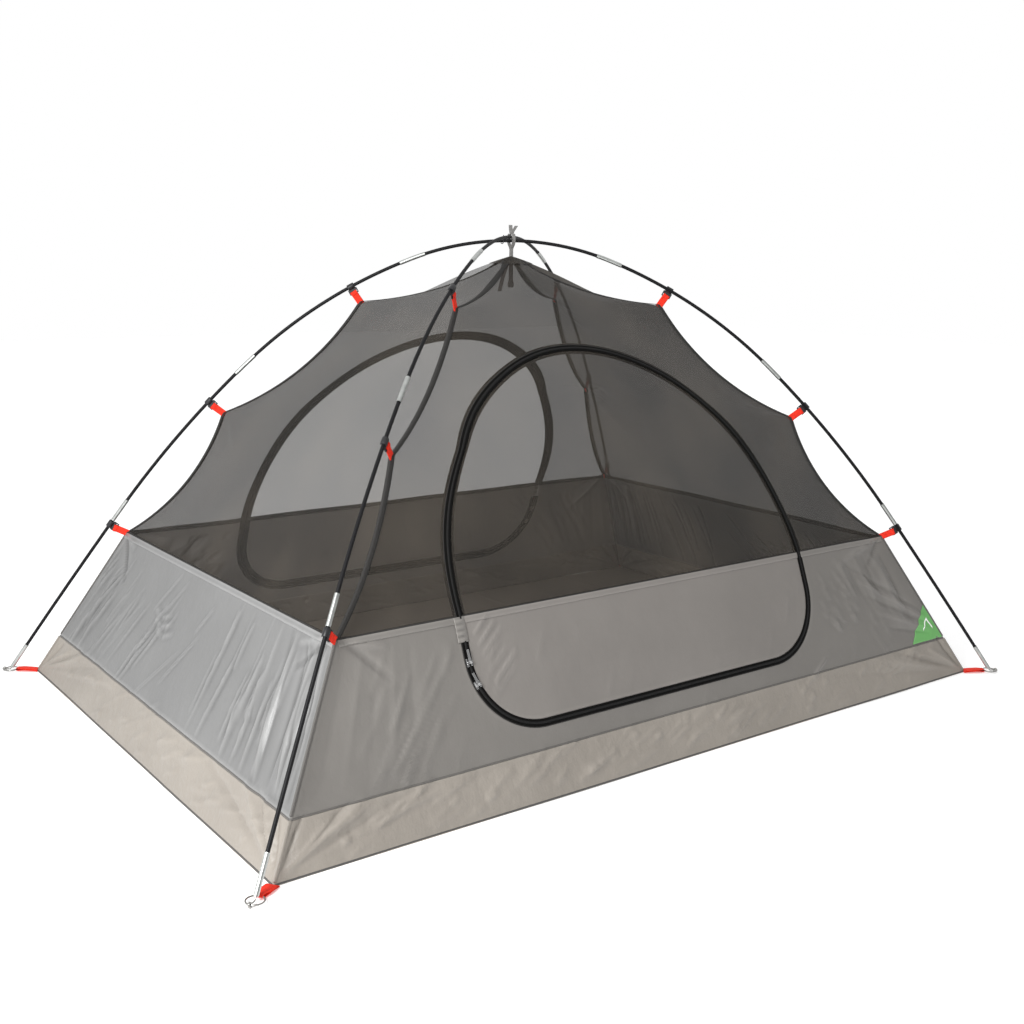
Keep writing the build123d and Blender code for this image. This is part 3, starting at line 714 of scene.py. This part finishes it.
def door_panel_grid(grow):
    """The solid lower part of a door, column by column."""
    turn = np.linspace(pi, 0, 220)
    x = door_middle + (door_half + grow) * np.cos(turn)
    outline = door_outline(grow)
    foot = outline[outline[:, 1] < hinge_low + 0.0001]
    foot = foot[np.argsort(foot[:, 0])]
    low = np.interp(x, foot[:, 0], foot[:, 1])
    low[0] = low[-1] = door_bottom + door_corner * sin(wall_lean)
    return loft(np.stack([x, low], -1), np.stack([x, np.full_like(x, panel_top)], -1), 40)


def door_mesh_grid(grow):
    """The see-through upper part of a door."""
    rise = door_half + grow * arch_lean
    first = np.arcsin((panel_top - door_shoulder) / rise)
    turn = np.linspace(pi - first, first, 160)
    x = door_middle + (door_half + grow) * np.cos(turn)
    high = door_shoulder + rise * np.sin(turn)
    return loft(np.stack([x, np.full_like(x, panel_top)], -1), np.stack([x, high], -1), 60)


def sheet_piece(name, wall, grid, finish, body="tent", node=None, thick=True, flat=None):
    """A cloth on a wall, stretched in the tent, in place of a CAD node."""
    x, z = grid[..., 0], grid[..., 1]
    obj = grid_object(name, on_wall(wall, x, z), finish)
    if thick:
        thicken(obj, cloth_thickness)
    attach(obj, body)
    area = surface_area(on_wall(wall, x, z, creased=False))
    if flat is None:
        low, high = grid.reshape(-1, 2).min(0), grid.reshape(-1, 2).max(0)
        width = high[0] - low[0]
        flat = (width, max(area / width, (high[1] - low[1]) * 1.12))
    if node:
        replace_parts(obj, node)
    return obj


def strip(name, wall, line_a, line_b, finish, slot, lift, thickness=0.0007, bulge=0.0, rows=4, body="tent"):
    """A tape on a wall between two lines, raised in its middle by bulge."""
    grid = loft(line_a, line_b, rows)
    arch = np.sin(np.linspace(0, pi, rows))[:, None] * bulge
    obj = grid_object(name, on_wall(wall, grid[..., 0], grid[..., 1], lift + arch), finish)
    thicken(obj, thickness)
    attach(obj, body)
    return obj


def wall_line(wall, z, inset, count):
    """A level line across a whole wall, inset from its seams."""
    half = shares(wall)[1] * float(seam_reach(z)) - inset
    return line((-half, z), (half, z), count)


# Where the mesh meets a solid panel: a narrow edge outside and a bound seam inside
mesh_edges = (("mesh_edge", 0.0, 0.0022, 0.0012), ("inner_mesh_edge", -0.009, 0.004, -0.0016))


def panel_hem(prefix, wall, line_at, finish, body="tent"):
    """The hem along the top of a solid panel, and the edges of the mesh there."""
    bottom, top = line_at(panel_top - hem), line_at(panel_top + 0.0015)
    strip(f"{prefix}_hem", wall, bottom, top, finish, "wall", 0.0010, 0.0009, 0.0004, 5, body)
    for name, low, high, lift in mesh_edges:
        lines = line_at(panel_top + low), line_at(panel_top + high)
        strip(f"{prefix}_{name}", wall, *lines, binding_tape, "binding", lift, 0.0008, body=body)


for wall in ("left", "right"):
    sheet_piece(f"{wall}_lower_wall_cloth", wall, plain_grid(wall, skirt_top, panel_top, 260, 54),
                wall_cloths[wall], node=f"{wall}_lower_wall")
    sheet_piece(f"{wall}_netting", wall, plain_grid(wall, panel_top, mesh_top, 120, 130),
                nets[wall], node=f"{wall}_mesh", thick=False)

for wall in ("front", "rear"):
    door = f"{wall}_door"
    sheet_piece(f"{wall}_lower_wall_cloth", wall, grid_below_door(wall),
                wall_cloths[wall], node=f"{wall}_lower_wall")
    arch = grid_above_door(wall)
    halves = {"left": (arch[:, :101], None), "right": (arch[:, 100:], f"{wall}_mesh")}
    for side, (half, node) in halves.items():
        sheet_piece(f"{wall}_{side}_netting", wall, half, nets[wall],
                    node=node, thick=False, flat=(0.30, 1.25))
    sheet_piece(f"{door}_panel_cloth", wall, door_panel_grid(-door_gap),
                door_cloths[wall], door, node=f"{door}_panel")
    sheet_piece(f"{door}_netting", wall, door_mesh_grid(-door_gap),
                nets[door], door, node=f"{door}_mesh", thick=False)

    # The zip: tape and coil on the door, tape on the wall, and their wider backs inside the tent
    strips = (  # name, inner and outer distance from the outline, finish, slot, body, lift, bulge, rows
        ("door_zip_tape", -0.0078, -0.0004, zip_tape, "zip_tape", door, 0.0012, 0.0, 4),
        ("door_zip_coil", -0.0026, 0.0026, zip_coil, "zip_tape", door, 0.0018, 0.0016, 7),
        ("door_zip_back", -0.0150, -0.0006, inner_zip_tape, "zip_tape", door, -0.0014, 0.0, 4),
        ("wall_zip_tape_front", 0.0004, 0.0078, zip_tape, "zip_tape", "tent", 0.0012, 0.0, 4),
        ("wall_zip_back", 0.0006, 0.0150, inner_zip_tape, "zip_tape", "tent", -0.0014, 0.0, 4),
        ("wall_zip_fold", 0.0078, 0.0100, binding_tape, "wall", "tent", 0.0008, 0.0, 3),
    )
    zip_parts = {
        part: strip(f"{wall}_{part}", wall, door_outline(near), door_outline(far),
                    finish, slot, lift, bulge=bulge, rows=rows, body=body)
        for part, near, far, finish, slot, body, lift, bulge, rows in strips
    }
    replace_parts(zip_parts["door_zip_tape"], f"{wall}_door_zip")
    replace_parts(zip_parts["wall_zip_tape_front"], f"{wall}_wall_zip_tape")

    # The short seam that the door hangs from, left open by the zip
    heights = np.linspace(hinge_low - 0.002, panel_top, 30)
    outside, inside = (np.stack([np.full(30, door_left + dx), heights], -1) for dx in (-0.017, 0.009))
    grid = loft(outside, inside, 15)
    ripple = 0.0016 * np.sin(np.linspace(0, pi, 15))[:, None] * (1.2 + np.sin(heights * 520)[None])
    points = on_wall(wall, grid[..., 0], grid[..., 1], 0.0016 + ripple)
    gap = grid_object(f"{wall}_door_hinge_cloth", points, wall_cloths[wall])
    thicken(gap, cloth_thickness)
    hinge_z = (hinge_low + hinge_high) / 2
    tent_side, door_side = (on_wall(wall, door_left + dx, hinge_z) for dx in (-0.0165, -0.0115))
    tuple(tent_side)
    tuple(door_side)
    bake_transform(gap)

    # Along the top of the solid panel: left and right of the door, and on the door
    half = shares(wall)[1] * seam_corners[1][0]
    spans = {
        "left": (-half + seam_inset, door_left - tape_edge, wall_cloths[wall], "tent"),
        "right": (door_right + tape_edge, half - seam_inset, wall_cloths[wall], "tent"),
        "door": (door_left + door_gap, door_right - door_gap, door_cloths[wall], door),
    }
    for part, (start, end, finish, body) in spans.items():
        panel_hem(f"{wall}_{part}", wall, lambda z: line((start, z), (end, z), 240), finish, body)

for wall in ("left", "right"):
    panel_hem(wall, wall, lambda z: wall_line(wall, z, seam_inset, 300), wall_cloths[wall])

# -------- skirt and floor

skirts = []
for wall in walls:
    grid = plain_grid(wall, 0.0006, skirt_top, 420 if wall in ("front", "rear") else 300, 24)
    skirts.append(sheet_piece(f"{wall}_skirt_cloth", wall, grid, skirt_cloth))
    low, high = (wall_line(wall, skirt_top + dz, 0.002, 420) for dz in (-0.0015, 0.0020))
    strip(f"{wall}_skirt_seam", wall, low, high, seam_cloth, "wall", 0.0007, 0.0006, 0.0008, 6)
    low, high = (wall_line(wall, z, 0.002, 420) for z in (0.0012, 0.0042))
    strip(f"{wall}_floor_edge", wall, low, high, edge_cloth, "skirt", 0.0006, 0.0005, 0.0006)
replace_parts(skirts[0], "bathtub_skirt")


def floor_grid():
    """The groundsheet, lying flat with the grid of its folds still in it."""
    x = np.linspace(-floor_high.x, floor_high.x, 260)
    y = np.linspace(-floor_high.y, floor_high.y, 190)
    x, y = np.meshgrid(x, y)
    lift = 0.0012 + 0.0006 * (1 + np.sin(9 * x + 5 * y) * np.sin(7 * y - 3 * x))
    fold_height, fold_width = 0.0022, 0.006
    for fold in np.linspace(-0.78, 0.78, 5):
        lift += fold_height * np.exp(-(((x - fold - 0.01 * np.sin(6 * y)) / fold_width) ** 2))
    for fold in np.linspace(-0.42, 0.42, 3):
        lift += fold_height * np.exp(-(((y - fold - 0.008 * np.sin(5 * x)) / fold_width) ** 2))
    edge = np.minimum(floor_high.x - np.abs(x), floor_high.y - np.abs(y))
    return np.stack([x, y, 0.0008 + lift * smooth(edge / 0.03)], -1)


floor = grid_object("groundsheet", floor_grid(), floor_cloth)
thicken(floor, cloth_thickness)
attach(floor, "tent")
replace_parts(floor, "floor_sheet")

# -------- seams along the legs

def leg_axes(leg):
    """Level directions out along a leg and across it."""
    sign_x, sign_y = legs[leg]
    outwards = np.array([sign_x * along_x, sign_y * along_y, 0.0])
    return outwards, np.array([-sign_y * along_y, sign_x * along_x, 0.0])


def leg_seam_points(leg, low, high, half_width, lift, count):
    """Grid of a tape folded over a leg seam: three rows on each wall and one along the ridge."""
    sign_x, sign_y = legs[leg]
    wanted = seam[(seam[:, 1] >= low) & (seam[:, 1] <= high)]
    r, z = resample(wanted, count).T
    front, front_sign = ("front", sign_x) if sign_y < 0 else ("rear", -sign_x)
    side, side_sign = ("left", -sign_y) if sign_x < 0 else ("right", sign_y)
    half_width = half_width * np.clip((apex - z) / 0.07, 0.45, 1.0)  # narrower by the apex

    def row(wall, sign, along, share):
        x = sign * np.maximum(along * r - half_width * share, 0.0)
        return on_wall(wall, x, z, lift, creased=False)

    outwards, _ = leg_axes(leg)
    normal = outwards + np.array([0, 0, 0.5])
    normal /= np.linalg.norm(normal)
    ridge = np.stack([outwards[0] * r, outwards[1] * r, z], -1) + normal * (lift + 0.0012)
    near = [row(front, front_sign, along_x, share) for share in (1.0, 0.5, 0.12)]
    far = [row(side, side_sign, along_y, share) for share in (0.12, 0.5, 1.0)]
    return np.stack(near + [ridge] + far)


leg_tapes = (  # name, from, to, half width, lift, points, finish, thickness, slot
    ("seam_binding", panel_top, apex - 0.0015, 0.008, 0.0012, 220, binding_tape, 0.0010, "binding"),
    ("lower_seam", skirt_top, panel_top, 0.004, 0.0010, 90, seam_cloth, 0.0008, "wall"),
    ("skirt_corner", 0.0012, skirt_top, 0.004, 0.0010, 40, skirt_cloth, 0.0008, "skirt"),
)
bindings = []
for leg in legs:
    for name, low, high, half_width, lift, count, finish, thickness, slot in leg_tapes:
        points = leg_seam_points(leg, low, high, half_width, lift, count)
        tape = grid_object(f"{leg}_{name}", points, finish)
        thicken(tape, thickness)
        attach(tape, "tent")
        bindings.append(tape)
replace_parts(bindings[0], "leg_bindings")

# -------- webbing

def swept_tape(name, path, side, width, finish, thickness=0.0012, columns=7):
    """A flat tape along a path of points; side is its width's direction, width may change along it."""
    widths = np.broadcast_to(width, len(path))
    side = np.array(side, float) / np.linalg.norm(side)
    across = np.linspace(-0.5, 0.5, columns)
    points = path[None] + across[:, None, None] * (widths[:, None] * side)[None]
    obj = grid_object(name, points, finish)
    thicken(obj, thickness)
    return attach(obj, "tent")


def curve_points(points, steps=8):
    """A smooth line through points, by Catmull and Rom's spline."""
    points = np.array(points, float)
    padded = np.concatenate([[2 * points[0] - points[1]], points, [2 * points[-1] - points[-2]]])
    made = []
    for k in range(1, len(padded) - 2):
        a, b, c, d = padded[k - 1: k + 3]
        squared, cubed = 2 * a - 5 * b + 4 * c - d, 3 * b - a - 3 * c + d
        for t in np.linspace(0, 1, steps, endpoint=False):
            made.append(0.5 * (2 * b + (c - a) * t + squared * t**2 + cubed * t**3))
    made.append(points[-1])
    return np.array(made)


def there_and_back(way, tip):
    """Pairs out to a tip and back, where the way back has one value of each pair turned round."""
    return [*way, tip, *((-y, z) for y, z in reversed(way))]


def loose_parts(node):
    """Points of each separate solid of a CAD node."""
    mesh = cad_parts[node].data
    points = np.array([v.co for v in mesh.vertices])
    group = np.arange(len(points))
    keys = {}
    for index, point in enumerate(np.round(points, 5).tolist()):
        group[index] = keys.setdefault(tuple(point), index)

    def root(i):
        while group[i] != i:
            group[i] = group[group[i]]
            i = group[i]
        return i

    for edge in mesh.edges:
        a, b = root(edge.vertices[0]), root(edge.vertices[1])
        group[max(a, b)] = min(a, b)
    roots = np.array([root(i) for i in range(len(points))])
    return [points[roots == r] for r in np.unique(roots)]


def tab_frames():
    """Leg, directions, seam end and length of each webbing tab, from its CAD solid."""
    for solid in loose_parts("clip_tabs"):
        x, y, _ = solid.mean(0)
        leg = next(name for name, (sx, sy) in legs.items() if sx * x > 0 and sy * y > 0)
        outwards, _ = leg_axes(leg)
        flat = np.stack([solid @ outwards, solid[:, 2]], -1)
        corners = [np.array(corner) for corner in seam_corners[1:4]]
        seam_end = min(corners, key=lambda corner: np.hypot(*(flat.mean(0) - corner)))
        onward = flat.mean(0) - seam_end
        onward = onward / np.hypot(*onward)
        yield leg, outwards, seam_end, onward, ((flat - seam_end) @ onward).max()


rank = dict.fromkeys(legs, 0)
tabs = []
for leg, outwards, seam_end, onward, length in sorted(tab_frames(), key=lambda t: (t[0], t[2][1])):
    rank[leg] += 1
    sideways = np.cross(outwards, (0, 0, 1))

    def spot(across, along):
        """A point of the tab's path: along from the seam, across to either side of the leg's plane."""
        r, z = seam_end + onward * along
        return outwards * r + np.array([0, 0, z]) + sideways * across

    fold = 0.0027
    way = ((0.0008, -0.007), (0.0009, 0.004), (0.0010, length - 0.013),
           (fold, length - 0.008), (fold, length - 0.002))
    path = curve_points([spot(*pair) for pair in there_and_back(way, (0.0, length - 0.0001))], 5)
    tape_side = outwards * -onward[1] + np.array([0, 0, onward[0]])
    tabs.append(swept_tape(f"{leg}_tab_{rank[leg]}", path, tape_side, 0.0175, red_tape, 0.0011))
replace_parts(tabs[0], "clip_tabs")

# Corner straps: webbing from under the floor's corner, round the ring and back
straps = []
wire_radius, strap_gap = 0.00175, 0.0030
strap_start = floor_reach - 0.004
for leg in legs:
    outwards, sideways = leg_axes(leg)
    ring = next(s for s in loose_parts("corner_rings") if (s.mean(0) @ outwards) > 1)
    near = (ring @ outwards).min()
    wire_r, wire_z = near + wire_radius, ring[:, 2].mean()
    path = curve_points([outwards * r + np.array([0, 0, z]) for r, z in (
        (strap_start, 0.0030), (floor_reach + 0.004, 0.0062), (wire_r - 0.020, wire_z + 0.0022),
        (wire_r - 0.006, wire_z + strap_gap), (wire_r, wire_z + strap_gap), (wire_r + strap_gap, wire_z),
        (wire_r, wire_z - strap_gap), (wire_r - 0.006, wire_z - strap_gap),
        (wire_r - 0.020, wire_z - 0.0006), (floor_reach + 0.004, 0.0034), (strap_start, 0.0016),
    )], 7)
    widths = 0.0150 + 0.0095 * smooth((near - path @ outwards) / 0.018)
    straps.append(swept_tape(f"{leg}_corner_strap", path, sideways, widths, red_tape, columns=9))
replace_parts(straps[0], "corner_straps")

# -------- crown

pole_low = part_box("pole_1_section_4")[1].z - 0.0085
pole_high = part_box("pole_2_section_4")[1].z
half_loop = 0.0112
# The tie's two strands go from the apex round either side of the crossed poles; (y, z) of the back one
strand = (
    (0.0006, apex - 0.012), (0.001, apex + 0.006), (0.0014, pole_low - 0.016), (half_loop * 0.8, pole_low - 0.004),
    (half_loop, (pole_low + pole_high) / 2), (half_loop * 0.7, pole_high + 0.003),
)
ends = {  # then each loose end, its heights above the poles
    "back": ((0.001, 0.001, 0.0035), (0.004, -0.003, 0.012), (0.010, -0.008, 0.024)),
    "front": ((0.0, -0.001, 0.0042), (-0.001, 0.001, 0.013), (-0.002, 0.0012, 0.026)),
}
ties = []
for part, side, width in (("back", 1, 0.0085), ("front", -1, 0.0095)):
    loose_end = [(x, y, pole_high + rise) for x, y, rise in ends[part]]
    path = curve_points([(0.0, side * y, z) for y, z in strand] + loose_end)
    ties.append(swept_tape(f"crown_tie_{part}", path, (1, -0.35, 0), width, grey_tape))
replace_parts(ties[0], "crown_tie")


def patch_points():
    """The reinforcement sewn over the top of the mesh: a ring of four gores that meet at the apex."""
    rows = []
    for height in np.linspace(mesh_top - 0.003, apex - 0.0005, 12):
        ring = []
        for wall in ("front", "right", "rear", "left"):
            half = shares(wall)[1] * float(seam_reach(height))
            x = np.linspace(-half, half, 13)[:-1]
            ring.append(on_wall(wall, x, np.full_like(x, height), 0.0017, creased=False))
        rows.append(np.concatenate(ring))
    return np.array(rows)


patch = grid_object("crown_patch_cloth", patch_points(), nets["crown"], close_columns=True)
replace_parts(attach(patch, "tent"), "crown_patch")

loop_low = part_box("lantern_loop")[0].z
loop_way = ((0.0015, mesh_top + 0.004), (0.0022, mesh_top - 0.02), (0.0025, loop_low + 0.020),
            (0.0062, loop_low + 0.010), (0.0045, loop_low + 0.002))
loop_path = curve_points([(0.0, y, z) for y, z in there_and_back(loop_way, (0.0, loop_low + 0.0006))], 7)
loop = swept_tape("lantern_loop_tape", loop_path, (1, 0, 0), 0.0095, dark_tape)
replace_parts(loop, "lantern_loop")
short_path = curve_points([
    (-0.006, 0.004, mesh_top + 0.002), (-0.016, 0.010, mesh_top - 0.03), (-0.024, 0.016, mesh_top - 0.072)])
swept_tape("crown_short_tape", short_path, (0.8, -0.6, 0), 0.010, dark_tape)

# A small hook tied beside the crossing
hook_x, hook_y = -0.019, 0.012
hook_path = curve_points([
    (hook_x, hook_y - 0.004, pole_high + 0.0006), (hook_x, hook_y - 0.0058, pole_high - 0.006),
    (hook_x, hook_y - 0.005, pole_high - 0.015), (hook_x - 0.003, hook_y - 0.004, pole_high - 0.021),
    (hook_x - 0.008, hook_y - 0.004, pole_high - 0.019),
])
swept_tape("crown_hook", hook_path, (0.3, 1, 0), 0.0032, clip_black, 0.0016)

# -------- corner patch on the front wall

patch_top = 0.193
patch_foot = along_x * float(seam_reach(skirt_top))
patch_tip = (along_x * float(seam_reach(patch_top)) - 0.004, patch_top)
patch_sides = (line((patch_foot - inset, skirt_top + 0.004), patch_tip, 40) for inset in (0.135, 0.004))
strip("corner_patch_cloth", "front", *patch_sides, patch_cloth, "wall", 0.0010, 0.0005, rows=40)
peak_x, peak_z = patch_foot - 0.058, skirt_top + 0.030  # its generic mark: a peak of two strokes
for part, side in (("left", -1), ("right", 1)):
    slope = line((peak_x + side * 0.020, peak_z), (peak_x, peak_z + 0.026), 12)
    strip(f"corner_patch_peak_{part}", "front", slope, slope + (0, 0.006),
          mark_cloth, "wall", 0.0016, 0.0004)

# -------- floor, light and camera

stage_mesh = bpy.data.meshes.new("studio_floor")
half_stage = 14.0
stage_corners = [(x * half_stage, y * half_stage, -0.0005) for x, y in ((-1, -1), (1, -1), (1, 1), (-1, 1))]
stage_mesh.from_pydata(stage_corners, [], [(0, 1, 2, 3)])
stage = add_object("studio_floor", stage_mesh)
paper = Finish("studio_white", (0.92, 0.92, 0.92), 0.9)
paper.shader.inputs["Emission Color"].default_value = (1, 1, 1, 1)
paper.shader.inputs["Emission Strength"].default_value = 0.22
stage_mesh.materials.append(paper.material)
stage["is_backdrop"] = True

world = bpy.data.worlds.new("studio")
bpy.context.scene.world = world
world.use_nodes = True
sky = world.node_tree
# White behind the tent and dimmer in front of it, as a studio with its lit backdrop is
direction = add_node(sky, "ShaderNodeTexCoord")
facing = add_node(sky, "ShaderNodeVectorMath", operation="DOT_PRODUCT")
facing.inputs[1].default_value = (-0.30, 0.80, 0.52)
dimmed = add_node(sky, "ShaderNodeMapRange")
for socket, value in {"From Min": -0.9, "From Max": 0.1, "To Min": 0.12, "To Max": 1.0}.items():
    dimmed.inputs[socket].default_value = value
backdrop = sky.nodes["Background"]
backdrop.inputs["Color"].default_value = (1, 1, 1, 1)
sky.links.new(direction.outputs["Generated"], facing.inputs[0])
sky.links.new(facing.outputs["Value"], dimmed.inputs["Value"])
seen = add_node(sky, "ShaderNodeLightPath")  # the backdrop itself looks white from every side
strength = add_node(sky, "ShaderNodeMath", operation="MAXIMUM")
sky.links.new(dimmed.outputs["Result"], strength.inputs[0])
sky.links.new(seen.outputs["Is Camera Ray"], strength.inputs[1])
sky.links.new(strength.outputs[0], backdrop.inputs["Strength"])

lamp_data = bpy.data.lights.new("key", "AREA")
lamp_data.color = (0.985, 0.985, 0.98)
lamp_data.shape = "DISK"
lamp_data.size = 1.0
lamp_data.energy = 86
lamp = add_object("key", lamp_data)
lamp.location = (-2.7, -1.40, 1.7)
lamp_target = Vector((-0.4, 0, 0.3))
lamp.rotation_euler = (lamp_target - lamp.location).to_track_quat("-Z", "Y").to_euler()

# The camera stands where the photo's camera stood
azimuth, elevation, roll = radians(36.53), radians(11.54), radians(0.69)
forward = Vector((sin(azimuth) * cos(elevation), cos(azimuth) * cos(elevation), -sin(elevation)))
level = Vector((cos(azimuth), -sin(azimuth), 0))
upright = level.cross(forward)
across = level * cos(roll) + upright * sin(roll)
above = upright * cos(roll) - level * sin(roll)
camera_data = bpy.data.cameras.new("camera")
camera_data.lens = 43.63
camera = add_object("camera", camera_data)
turn = Matrix((across, above, -forward)).transposed().to_4x4()
camera.matrix_world = Matrix.Translation((-1.928, -2.620, 1.111)) @ turn
bpy.context.scene.camera = camera
bpy.context.scene.view_settings.view_transform = "Standard"

# -------- sizes for comparison

low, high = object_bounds()
{"cad": [list(cad_low), list(cad_high)], "visual": [list(low), list(high)]}
